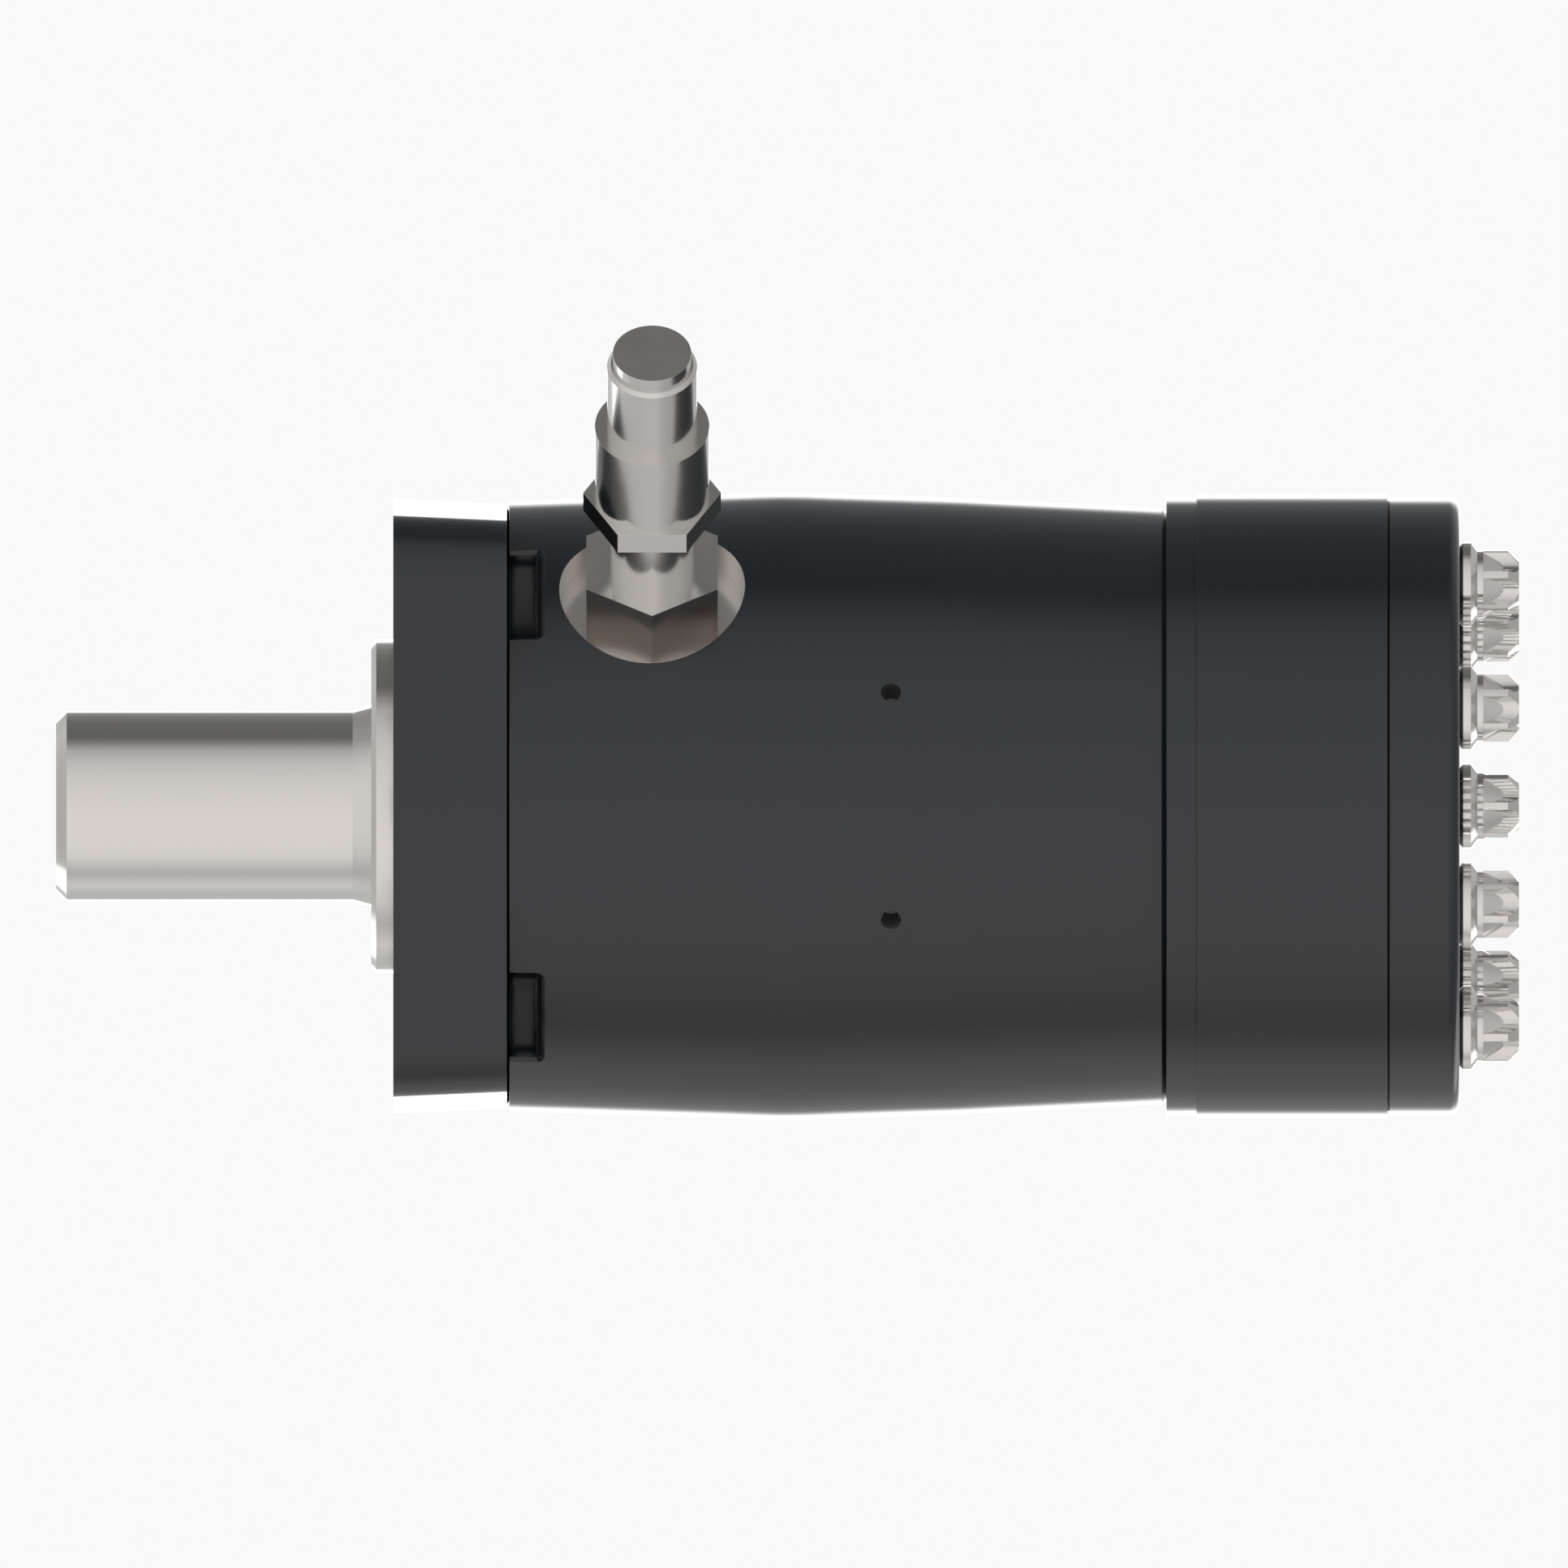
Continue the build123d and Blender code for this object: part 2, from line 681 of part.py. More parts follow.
# Spacer plate between the housing and the gerotor set
with BuildPart() as spacer_plate:
    with BuildSketch(across(housing_back)):
        Circle(plate_radius)
        Circle(plate_bore_radius, mode=Mode.SUBTRACT)
        with PolarLocations(cover_screw_circle, roller_count):
            Circle(screw_hole_radius, mode=Mode.SUBTRACT)
        with PolarLocations(passage_circle, roller_count):
            Circle(passage_radius, mode=Mode.SUBTRACT)
    extrude(amount=plate_thickness)
    with BuildSketch(across(housing_back)):
        Circle(stack_ring_inner + seal_ring_width)
        Circle(stack_ring_inner, mode=Mode.SUBTRACT)
    extrude(amount=seal_ring_thickness, mode=Mode.SUBTRACT)
write(spacer_plate, "spacer_plate")
write(seal_ring(housing_back, stack_ring_inner), "housing_seal_ring")

# Gerotor ring with seven half-round roller pockets
with BuildPart() as gerotor_ring:
    with BuildSketch(star_plane(ring_front)):
        Circle(ring_radius)
        Circle(ring_inner_radius, mode=Mode.SUBTRACT)
        with PolarLocations(roller_circle, roller_count):
            Circle(roller_radius + running_clearance, mode=Mode.SUBTRACT)
        with PolarLocations(cover_screw_circle, roller_count, start_angle=180 / roller_count):
            Circle(screw_hole_radius, mode=Mode.SUBTRACT)
    extrude(amount=gerotor_width)
    with BuildSketch(across(ring_front)):
        Circle(stack_ring_inner + seal_ring_width)
        Circle(stack_ring_inner, mode=Mode.SUBTRACT)
    extrude(amount=seal_ring_thickness, mode=Mode.SUBTRACT)
write(gerotor_ring, "gerotor_ring")
write(seal_ring(ring_front, stack_ring_inner), "gerotor_seal_ring")

roller_length = gerotor_width - 2 * side_clearance
for number in range(roller_count):
    with BuildPart() as roller:
        with BuildSketch(star_plane(ring_front + side_clearance)):
            with PolarLocations(roller_circle, 1, start_angle=number * 360 / roller_count):
                Circle(roller_radius)
        extrude(amount=roller_length)
    write(roller, f"roller_{number + 1}")


def flank(turn):
    """A point of the star's outline, at a turn of the roller circle.

    It lies inside the path that a roller's centre follows as seen from the star."""
    centre = roller_circle * cmath.exp(1j * turn) - eccentricity * cmath.exp(1j * roller_count * turn)
    travel = 1j * (
        roller_circle * cmath.exp(1j * turn)
        - roller_count * eccentricity * cmath.exp(1j * roller_count * turn)
    )
    point = centre + (roller_radius + running_clearance) * 1j * travel / abs(travel)
    return point.real, point.imag


# Star: its outline rolls on all seven rollers at once, and its bore takes the drive link's spline.
# Each flank is a run of arcs, shorter near the valley, where the outline turns fastest.
half_lobe = math.pi / star_lobes
flank_marks = [half_lobe * (step / (2 * flank_arcs)) ** flank_grading for step in range(2 * flank_arcs + 1)]
lobe_marks = flank_marks + [2 * half_lobe - mark for mark in reversed(flank_marks[:-1])]
with BuildPart() as gerotor_star:
    with BuildSketch(star_plane(ring_front + side_clearance, eccentricity)):
        with BuildLine():
            for lobe in range(star_lobes):
                outline = [flank(mark + 2 * half_lobe * lobe) for mark in lobe_marks]
                for start in range(0, len(outline) - 1, 2):
                    ThreePointArc(*outline[start : start + 3])
        make_face()
        Circle(spline_minor_radius, mode=Mode.SUBTRACT)
        with PolarLocations(spline_major_radius / 2, spline_teeth):
            Rectangle(spline_major_radius, tooth_width + 2 * spline_flank_gap, mode=Mode.SUBTRACT)
    extrude(amount=roller_length)
write(gerotor_star, "gerotor_star")

# Drive link: it tilts between the shaft's spline and the star, so its teeth are crowned
link_axis = Vector(math.cos(link_tilt), -math.sin(link_tilt), 0)
link_side = Vector(math.sin(link_tilt), math.cos(link_tilt), 0)
link_pivot = Vector(link_pivot_station, 0, 0)


def link_plane(distance):
    """The plane across the drive link, that far from its pivot in the shaft."""
    return Plane(origin=link_pivot + link_axis * distance, x_dir=link_side, z_dir=link_axis)


link_section = Plane(origin=link_pivot, x_dir=link_axis, z_dir=Vector(0, 0, 1))
with BuildPart() as drive_link:
    for centre in (0, link_reach):
        with BuildSketch(link_plane(centre)):
            Circle(tooth_root_radius)
            with PolarLocations(tooth_tip_radius / 2, spline_teeth):
                Rectangle(tooth_tip_radius, tooth_width)
        extrude(amount=crown_half, both=True)
    with BuildSketch(link_section):
        with BuildLine():
            for centre in (0, link_reach):
                crest = Line((centre - crown_half, 0), (centre - crown_half, tooth_tip_radius - crown_drop))
                barrel = ThreePointArc(
                    crest @ 1,
                    (centre, tooth_tip_radius),
                    (centre + crown_half, tooth_tip_radius - crown_drop),
                )
                Polyline(barrel @ 1, (centre + crown_half, 0), crest @ 0)
        make_face()
    revolve(axis=Axis(link_pivot, link_axis), mode=Mode.INTERSECT)
    with BuildSketch(link_section):
        with BuildLine():
            Polyline(
                (-crown_half - link_end_length, 0),
                (-crown_half - link_end_length, link_end_radius),
                (-crown_half, link_shank_radius),
                (link_reach + crown_half, link_shank_radius),
                (link_reach + crown_half + link_end_length, link_end_radius),
                (link_reach + crown_half + link_end_length, 0),
                close=True,
            )
        make_face()
    revolve(axis=Axis(link_pivot, link_axis))
write(drive_link, "drive_link")

# Disc in the star's bore that keeps the drive link off the end cover
with BuildPart() as drive_spacer:
    with BuildSketch(star_plane(link_spacer_front, eccentricity)):
        Circle(link_spacer_radius)
    extrude(amount=ring_back - loose_clearance - link_spacer_front)
write(drive_spacer, "drive_spacer")

# End cover with a rounded rim and a rebate at the gerotor ring
with BuildPart() as end_cover:
    with BuildSketch(Plane.XY) as cover_section:
        with BuildLine():
            Polyline(
                (ring_back, 0),
                (ring_back, cover_radius - cover_rebate_depth),
                (ring_back + cover_rebate_width, cover_radius - cover_rebate_depth),
                (ring_back + cover_rebate_width, cover_radius),
                (cover_back, cover_radius),
                (cover_back, 0),
                close=True,
            )
        make_face()
        fillet(cover_section.vertices().group_by(Axis.Y)[-1].sort_by(Axis.X)[-1], cover_corner)
    revolve(axis=Axis.X)
    with BuildSketch(across(ring_back)):
        with PolarLocations(cover_screw_circle, roller_count):
            Circle(screw_hole_radius)
    extrude(amount=cover_thickness, mode=Mode.SUBTRACT)
    with BuildSketch(across(ring_back)):
        Circle(stack_ring_inner + seal_ring_width)
        Circle(stack_ring_inner, mode=Mode.SUBTRACT)
    extrude(amount=seal_ring_thickness, mode=Mode.SUBTRACT)
write(end_cover, "end_cover")
write(seal_ring(ring_back, stack_ring_inner), "cover_seal_ring")

# Cover screw with its axis on Z, its seat at the origin and one lobe towards +X
head_flange_top = head_underside + head_flange_height
head_collar_base = head_flange_top + head_cone_height
head_lobe_base = head_collar_base + head_collar_height
head_end = head_lobe_base + head_lobe_height
screw_tip = housing_back - cover_screw_thread - cover_back
with BuildPart() as cover_screw:
    with BuildSketch(Plane.XZ):
        with BuildLine():
            Polyline(
                (0, screw_tip),
                (cover_screw_radius, screw_tip),
                (cover_screw_radius, 0),
                (head_flange_radius - head_underside, 0),
                (head_flange_radius, head_underside),
                (head_flange_radius, head_flange_top),
                (head_collar_radius, head_collar_base),
                (head_collar_radius, head_lobe_base),
                (head_lobe_radius, head_lobe_base),
                (head_lobe_radius, head_end - head_end_chamfer),
                (head_lobe_radius - head_end_chamfer, head_end),
                (0, head_end),
                close=True,
            )
        make_face()
    revolve(axis=Axis.Z)
    with BuildSketch(Plane.XY.offset(head_lobe_base)):
        with PolarLocations(head_valley_circle, 6, start_angle=30):
            Circle(head_valley_radius)
    extrude(amount=head_lobe_height, mode=Mode.SUBTRACT)
    with BuildSketch(Plane.XZ):
        with BuildLine():
            Polyline(
                (0, head_lobe_base),
                (head_collar_radius, head_lobe_base),
                (run_out_radius, head_lobe_base + run_out_length),
                (0, head_lobe_base + run_out_length),
                close=True,
            )
        make_face()
    revolve(axis=Axis.Z)

with BuildPart(across(cover_back)) as cover_screws:
    with PolarLocations(cover_screw_circle, roller_count):
        add(cover_screw.part)
write(cover_screws, "cover_screws")
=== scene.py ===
import json
import math

import bpy
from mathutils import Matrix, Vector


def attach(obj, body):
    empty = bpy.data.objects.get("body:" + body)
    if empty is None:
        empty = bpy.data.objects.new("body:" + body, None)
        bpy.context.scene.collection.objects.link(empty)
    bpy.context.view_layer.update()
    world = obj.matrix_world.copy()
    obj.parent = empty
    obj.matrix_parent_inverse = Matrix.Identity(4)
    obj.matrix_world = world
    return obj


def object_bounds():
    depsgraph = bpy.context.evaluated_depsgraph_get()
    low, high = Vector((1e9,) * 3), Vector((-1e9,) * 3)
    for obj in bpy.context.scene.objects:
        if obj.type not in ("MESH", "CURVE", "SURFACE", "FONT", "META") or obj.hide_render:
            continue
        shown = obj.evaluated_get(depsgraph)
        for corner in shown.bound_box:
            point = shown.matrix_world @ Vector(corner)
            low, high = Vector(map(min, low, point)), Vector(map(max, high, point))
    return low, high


# Orbital hydraulic motor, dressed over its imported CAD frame. Metres. The motor lies along X with
# its shaft to -X, the camera looks along +Y, and Z is up.
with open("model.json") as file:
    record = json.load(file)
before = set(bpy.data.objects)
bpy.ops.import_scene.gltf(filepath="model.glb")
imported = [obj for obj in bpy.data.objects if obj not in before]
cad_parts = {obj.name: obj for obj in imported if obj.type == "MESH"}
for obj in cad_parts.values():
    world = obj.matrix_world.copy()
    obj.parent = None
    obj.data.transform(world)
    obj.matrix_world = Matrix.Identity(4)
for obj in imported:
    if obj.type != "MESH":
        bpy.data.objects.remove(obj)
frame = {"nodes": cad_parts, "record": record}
cad_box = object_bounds()
MM = 0.001

# Camera: a straight side view, as wide as the photograph
VIEW_WIDTH = 208.85 * MM
VIEW_CENTRE_X = 52.05 * MM
VIEW_CENTRE_Z = 2.95 * MM
CAMERA_DISTANCE = 0.6

# Studio: brightness of the white room round the motor's axis. Angles are in degrees, 0 is behind
# the camera, 90 straight overhead, -90 straight below and 180 behind the motor. The motor reflects
# this room, and the camera itself sees a plain background.
ROOM_LIGHT = (
    (-180, 0.55), (-160, 0.6), (-146, 0.59), (-131, 0.62), (-112, 0.79), (-90, 0.583), (-79, 0.686),
    (-66, 0.866), (-50, 0.927), (-30, 0.943), (-8, 0.923), (20, 0.85), (38, 0.784), (56, 0.673),
    (70, 0.543), (78, 0.37), (84, 0.25), (91, 0.149), (122, 0.173), (140, 0.244), (152, 0.33),
    (160, 0.45), (180, 0.55),
)
RAMP_TOP = 1.1
BACKGROUND = 0.948

# Tint of that room: warm in front and below, neutral overhead and behind
ROOM_TINT = (
    (-180, (1.0, 1.0, 1.0)), (-125, (1.0, 1.0, 1.0)), (-98, (1.0, 0.956, 0.946)),
    (78, (1.0, 0.956, 0.946)), (92, (1.0, 0.99, 0.976)), (138, (1.0, 0.99, 0.98)),
    (152, (1.0, 1.0, 1.0)), (180, (1.0, 1.0, 1.0)),
)

# The bright backdrop straight behind the motor, narrow along X
BACK_LIGHT = 2.3
BACK_START = math.radians(154)
BACK_FULL = math.radians(167)
BACK_NARROW = 0.04
BACK_WIDE = 0.28

# The ends of the room: their level behind, beside and in front of the motor, and their reach
SIDE_BEHIND = 0.7
SIDE_BESIDE = 0.565
SIDE_BEFORE = 0.83
SIDE_REACH = 0.7
BEFORE_REACH = 0.85

# The room is dimmer towards the cover's end
DIM_START = 0.1
DIM_FULL = 0.45
DIM_LEVEL = 0.8

# Two low lamps behind the motor, one towards each end
LAMP_TOWARDS = ((-0.57, 0.67, -0.46), (0.57, 0.67, -0.46))
LAMP_EDGE = 0.94
LAMP_FULL = 0.982
LAMP_LIGHT = 1.2

# Floor: a sheet under the motor's lowest point that takes its shadow
FLOOR_SIZE = 4.0
FLOOR_GLOW = 0.5
FLOOR_COLOUR = (0.8, 0.8, 0.8)

# Colours of the paint: on the castings; on the housing's rear chamfer, lighter as painted light; on
# the reliefs' rims, lighter as a painted highlight; and on the wall and the floor of the small
# blind holes, lighter as painted light
PAINT = (0.015, 0.022, 0.028)
CHAMFER_LIGHT_PAINT = (0.036, 0.046, 0.054)
RELIEF_RIM_LIGHT = (0.065, 0.072, 0.078)
HOLE_WALL_LIGHT = (0.09, 0.1, 0.1)
HOLE_FLOOR_LIGHT = (0.8, 0.84, 0.82)
PAINT_ROUGHNESS = (0.09, 0.15)
PAINT_IOR = 1.56
SHARP_EDGE = 0.08 * MM
CAST_EDGE = 1.8 * MM

# Colours of the metals, of rubber and of the painted shade in the joints, and how far they vary
STEEL_TINT = (0.746, 0.74, 0.719)
HARD_TINT = (0.64, 0.635, 0.62)
KEY_TINT = (0.29, 0.285, 0.275)
MILLED_TINT = (0.79, 0.775, 0.75)
# Painted reflection: the hexagons' sides are darker and warmer than the plating
FLATS_REFLECTION_TINT = (0.53, 0.5, 0.48)
RUBBER_TINTS = ((0.012, 0.012, 0.012), (0.024, 0.024, 0.024))
JOINT_SHADOW_TINTS = ((0.003, 0.0032, 0.0034), (0.0045, 0.0047, 0.005))
PAINT_SHADES = (0.94, 1.06)
STEEL_SHADES = (0.95, 1.0)
PLATING_SHADES = (0.96, 1.0)

# Grain of the finishes, in waves a metre
MOTTLE_WAVES = 60.0
PEEL_WAVES = 900.0
RING_WAVES = (6000.0, 30.0, 30.0)
STAIN_WAVES = 90.0
HAZE_WAVES = 250.0
RIPPLE_WAVES = 1500.0
RUBBER_WAVES = 3000.0
BLACK_WAVES = 800.0

# The bare front of the pilot, the ports' machined pockets and the sides of the lower hexagons
PILOT_BACK = -0.01 * MM
PORT_STATION = 34.48 * MM
PORT_LEAN = math.radians(45)
POCKET_REACH = 12.4 * MM
FLATS_TOP = 45.85 * MM
FLATS_REACH = 8.65 * MM

# The small blind holes and the reliefs behind the bolt holes
PIN_HOLE_STATION = 66.3 * MM
PIN_HOLE_LEAN = math.radians(21.5)
PIN_HOLE_REACH = 1.34 * MM
PIN_HOLE_FLOOR = 35.7 * MM
PIN_FLOOR_SLACK = 0.15 * MM
BOLT_SPREAD = 41.275 * math.sqrt(0.5) * MM
RELIEF_FLOOR = 18.97 * MM
RELIEF_RADIUS = 8.14 * MM
RELIEF_RIM = 20.3 * MM

# Painted shade and light at the joints of the stack: the cover's rebate is coloured black as
# painted shade, and the housing's rear chamfer gets a lighter paint as painted light
REBATE_BACK = 132.71 * MM
CHAMFER_FRONT = 102.4 * MM
CHAMFER_INSIDE = 38.9 * MM

# Painted shadow in the open joint behind the flange: a near-black fill between the reliefs behind
# the four bolt holes. Its section, and where each arc starts and how far it goes in degrees
JOINT_FRONT = 15.13 * MM
JOINT_BACK = 15.45 * MM
JOINT_FLOOR = 38.04 * MM
JOINT_FRONT_RIM = 39.68 * MM
JOINT_BACK_RIM = 39.28 * MM
JOINT_ARCS = ((57.5, 65.0), (146.3, 67.4), (237.5, 65.0), (326.3, 67.4))
JOINT_STEPS = 48


def node(tree, kind, inputs=None, **settings):
    """Add a shader node, with each input, by name or number, set to a value or linked."""
    made = tree.nodes.new(kind)
    for name, value in settings.items():
        setattr(made, name, value)
    for key, value in (inputs or {}).items():
        if isinstance(value, bpy.types.NodeSocket):
            tree.links.new(value, made.inputs[key])
        else:
            made.inputs[key].default_value = value
    return made


def compute(tree, operation, first, second=0.0):
    """A maths node's result from two numbers or sockets."""
    return node(tree, "ShaderNodeMath", {0: first, 1: second}, operation=operation).outputs[0]


def remap(tree, value, low, high, to_low=0.0, to_high=1.0, smooth=False):
    """A value's place between low and high, as a number from to_low to to_high."""
    kind = "SMOOTHSTEP" if smooth else "LINEAR"
    inputs = {"Value": value, "From Min": low, "From Max": high,
              "To Min": to_low, "To Max": to_high}
    return node(tree, "ShaderNodeMapRange", inputs, interpolation_type=kind).outputs["Result"]


def noise(tree, vector, scale, detail=2.0, roughness=0.5):
    """Smooth noise from 0 to 1 with that many waves a metre."""
    inputs = {"Vector": vector, "Scale": scale, "Detail": detail, "Roughness": roughness}
    return node(tree, "ShaderNodeTexNoise", inputs).outputs["Fac"]


def blend_colours(tree, share, first, second):
    """A mix of two colours: the first where the share is 0, the second where it is 1."""
    inputs = {0: share, 6: (*first, 1.0), 7: (*second, 1.0)}
    return node(tree, "ShaderNodeMix", inputs, data_type="RGBA").outputs[2]


def shades_of(tint, shades):
    """A colour at two brightnesses, for a finish that varies between them."""
    return [tuple(shade * channel for channel in tint) for shade in shades]


def ramp_of(tree, turn, stops):
    """A colour that goes through (degrees, colour) stops once round the motor's axis."""
    ramp = node(tree, "ShaderNodeValToRGB", {"Fac": turn})
    elements = ramp.color_ramp.elements
    while len(elements) < len(stops):
        elements.new(1.0)
    for element, (degrees, colour) in zip(elements, stops):
        element.position = (degrees + 180) / 360
        element.color = (*colour, 1.0)
    return ramp.outputs["Color"]


def make_room():
    """The studio: a white room that is darker overhead, and plain white to the camera."""
    world = bpy.data.worlds.new("studio")
    bpy.context.scene.world = world
    world.use_nodes = True
    tree = world.node_tree
    tree.nodes.clear()
    direction = node(tree, "ShaderNodeTexCoord").outputs["Generated"]
    along = node(tree, "ShaderNodeSeparateXYZ", {"Vector": direction})
    forwards = compute(tree, "MULTIPLY", along.outputs["Y"], -1.0)
    angle = compute(tree, "ARCTAN2", along.outputs["Z"], forwards)
    turn = remap(tree, angle, -math.pi, math.pi)
    levels = [(degrees, (light / RAMP_TOP,) * 3) for degrees, light in ROOM_LIGHT]
    round_axis = compute(tree, "MULTIPLY", ramp_of(tree, turn, levels), RAMP_TOP)
    tint = ramp_of(tree, turn, ROOM_TINT)
    sideways = compute(tree, "ABSOLUTE", along.outputs["X"])
    behind = remap(tree, along.outputs["Y"], 0.0, 1.0, SIDE_BESIDE, SIDE_BEHIND, smooth=True)
    before = remap(tree, forwards, 0.0, BEFORE_REACH, 0.0, SIDE_BEFORE - SIDE_BESIDE, smooth=True)
    side_share = remap(tree, sideways, 0.0, SIDE_REACH, smooth=True)
    side_level = compute(tree, "ADD", behind, before)
    room = node(tree, "ShaderNodeMix", {0: side_share, 2: round_axis, 3: side_level}).outputs[0]
    far_round = compute(tree, "ABSOLUTE", angle)
    back = remap(tree, far_round, BACK_START, BACK_FULL, 0.0, BACK_LIGHT, smooth=True)
    central = remap(tree, sideways, BACK_NARROW, BACK_WIDE, 1.0, 0.0, smooth=True)
    room = compute(tree, "ADD", room, compute(tree, "MULTIPLY", back, central))
    for towards in LAMP_TOWARDS:
        nearness = node(tree, "ShaderNodeVectorMath", {0: direction, 1: towards},
                        operation="DOT_PRODUCT").outputs["Value"]
        lamp = remap(tree, nearness, LAMP_EDGE, LAMP_FULL, 0.0, LAMP_LIGHT, smooth=True)
        room = compute(tree, "ADD", room, lamp)
    dimming = remap(tree, along.outputs["X"], DIM_START, DIM_FULL, 1.0, DIM_LEVEL, smooth=True)
    room = compute(tree, "MULTIPLY", room, dimming)
    light = node(tree, "ShaderNodeBackground", {"Color": tint, "Strength": room}).outputs[0]
    plain = node(tree, "ShaderNodeBackground", {
        "Color": (1.0, 1.0, 1.0, 1.0), "Strength": BACKGROUND}).outputs[0]
    camera_ray = node(tree, "ShaderNodeLightPath").outputs["Is Camera Ray"]
    shown = node(tree, "ShaderNodeMixShader", {0: camera_ray, 1: light, 2: plain})
    node(tree, "ShaderNodeOutputWorld", {"Surface": shown.outputs[0]})


def make_camera():
    """The camera, looking straight at the motor's side."""
    data = bpy.data.cameras.new("camera")
    data.type = "ORTHO"
    data.ortho_scale = VIEW_WIDTH
    camera = bpy.data.objects.new("camera", data)
    camera.location = (VIEW_CENTRE_X, -CAMERA_DISTANCE, VIEW_CENTRE_Z)
    camera.rotation_euler = (math.pi / 2, 0.0, 0.0)
    bpy.context.scene.collection.objects.link(camera)
    bpy.context.scene.camera = camera


def make_floor():
    """A pale floor with the motor's shadow on it, which no reflection shows."""
    height = cad_box[0].z
    half = FLOOR_SIZE / 2
    mesh = bpy.data.meshes.new("floor")
    signs = ((-1, -1), (1, -1), (1, 1), (-1, 1))
    corners = [(VIEW_CENTRE_X + x * half, y * half, height) for x, y in signs]
    mesh.from_pydata(corners, [], [(0, 1, 2, 3)])
    floor = bpy.data.objects.new("floor", mesh)
    bpy.context.scene.collection.objects.link(floor)
    material = bpy.data.materials.new("pale_floor")
    material.use_nodes = True
    tree = material.node_tree
    tree.nodes.clear()
    glow = node(tree, "ShaderNodeEmission", {"Strength": FLOOR_GLOW})
    matt = node(tree, "ShaderNodeBsdfDiffuse", {"Color": (*FLOOR_COLOUR, 1.0)})
    both = node(tree, "ShaderNodeAddShader", {0: glow.outputs[0], 1: matt.outputs[0]})
    node(tree, "ShaderNodeOutputMaterial", {"Surface": both.outputs[0]})
    mesh.materials.append(material)
    floor.visible_diffuse = False
    floor.visible_glossy = False


def new_material(name):
    """An empty node material: the material, its tree and the object's own coordinates."""
    material = bpy.data.materials.new(name)
    material.use_nodes = True
    tree = material.node_tree
    tree.nodes.clear()
    place = node(tree, "ShaderNodeTexCoord").outputs["Object"]
    return material, tree, place


def set_surface(tree, inputs):
    """Give a material its surface: one shader with these inputs."""
    shader = node(tree, "ShaderNodeBsdfPrincipled", inputs)
    node(tree, "ShaderNodeOutputMaterial", {"Surface": shader.outputs[0]})


def bumped(tree, height, strength, distance, rounding=0.0, samples=4):
    """A normal with a fine bump, over edges that look rounded by that radius if it is given."""
    inputs = {"Height": height, "Strength": strength, "Distance": distance}
    if rounding:
        edge = node(tree, "ShaderNodeBevel", {"Radius": rounding}, samples=samples)
        inputs["Normal"] = edge.outputs[0]
    return node(tree, "ShaderNodeBump", inputs).outputs[0]


def charcoal_paint(name, tint, gloss=0.5, rounding=SHARP_EDGE):
    """Satin charcoal paint over a casting: faint mottling and a soft orange peel."""
    material, tree, place = new_material(name)
    cloud = noise(tree, place, MOTTLE_WAVES, detail=4.0)
    speck = noise(tree, place, PEEL_WAVES, detail=3.0)
    set_surface(tree, {
        "Base Color": blend_colours(tree, cloud, *shades_of(tint, PAINT_SHADES)),
        "Roughness": remap(tree, cloud, 0.0, 1.0, *PAINT_ROUGHNESS),
        "IOR": PAINT_IOR, "Specular IOR Level": gloss,
        "Normal": bumped(tree, speck, 0.12, 0.02 * MM, rounding, samples=8)})
    return material


def turned_steel(name, tint, roughness, line_depth):
    """Bare steel turned about the motor's axis: fine rings along X, faint stains."""
    material, tree, place = new_material(name)
    stretch = node(tree, "ShaderNodeMapping", {"Vector": place, "Scale": RING_WAVES})
    rings = noise(tree, stretch.outputs[0], 1.0, detail=3.0)
    stain = noise(tree, place, STAIN_WAVES, detail=5.0)
    set_surface(tree, {
        "Base Color": blend_colours(tree, stain, *shades_of(tint, STEEL_SHADES)),
        "Metallic": 1.0, "Roughness": remap(tree, stain, 0.3, 0.7, *roughness),
        "Normal": bumped(tree, rings, line_depth, 0.01 * MM, rounding=0.06 * MM)})
    return material


def plating(name, tint, roughness):
    """Bright plating: nearly a mirror, with a faint haze that varies over the surface."""
    material, tree, place = new_material(name)
    haze = noise(tree, place, HAZE_WAVES, detail=4.0)
    ripple = noise(tree, place, RIPPLE_WAVES)
    set_surface(tree, {
        "Base Color": blend_colours(tree, haze, *shades_of(tint, PLATING_SHADES)),
        "Metallic": 1.0, "Roughness": remap(tree, haze, 0.3, 0.7, *roughness),
        "Normal": bumped(tree, ripple, 0.03, 0.01 * MM, rounding=0.05 * MM)})
    return material


def seal_rubber():
    """Matt black rubber with a fine grain."""
    material, tree, place = new_material("seal_rubber")
    grain = noise(tree, place, RUBBER_WAVES, detail=3.0)
    set_surface(tree, {"Base Color": blend_colours(tree, grain, *RUBBER_TINTS),
                       "Roughness": 0.7, "Normal": bumped(tree, grain, 0.2, 0.02 * MM)})
    return material


def joint_painted_shadow():
    """Painted shade: a dull near-black colour put in the joints between the castings, where shadow
    falls.
    """
    material, tree, place = new_material("joint_painted_shadow")
    grain = noise(tree, place, BLACK_WAVES)
    set_surface(tree, {"Base Color": blend_colours(tree, grain, *JOINT_SHADOW_TINTS),
                       "Roughness": 0.5, "Specular IOR Level": 0.12})
    return material


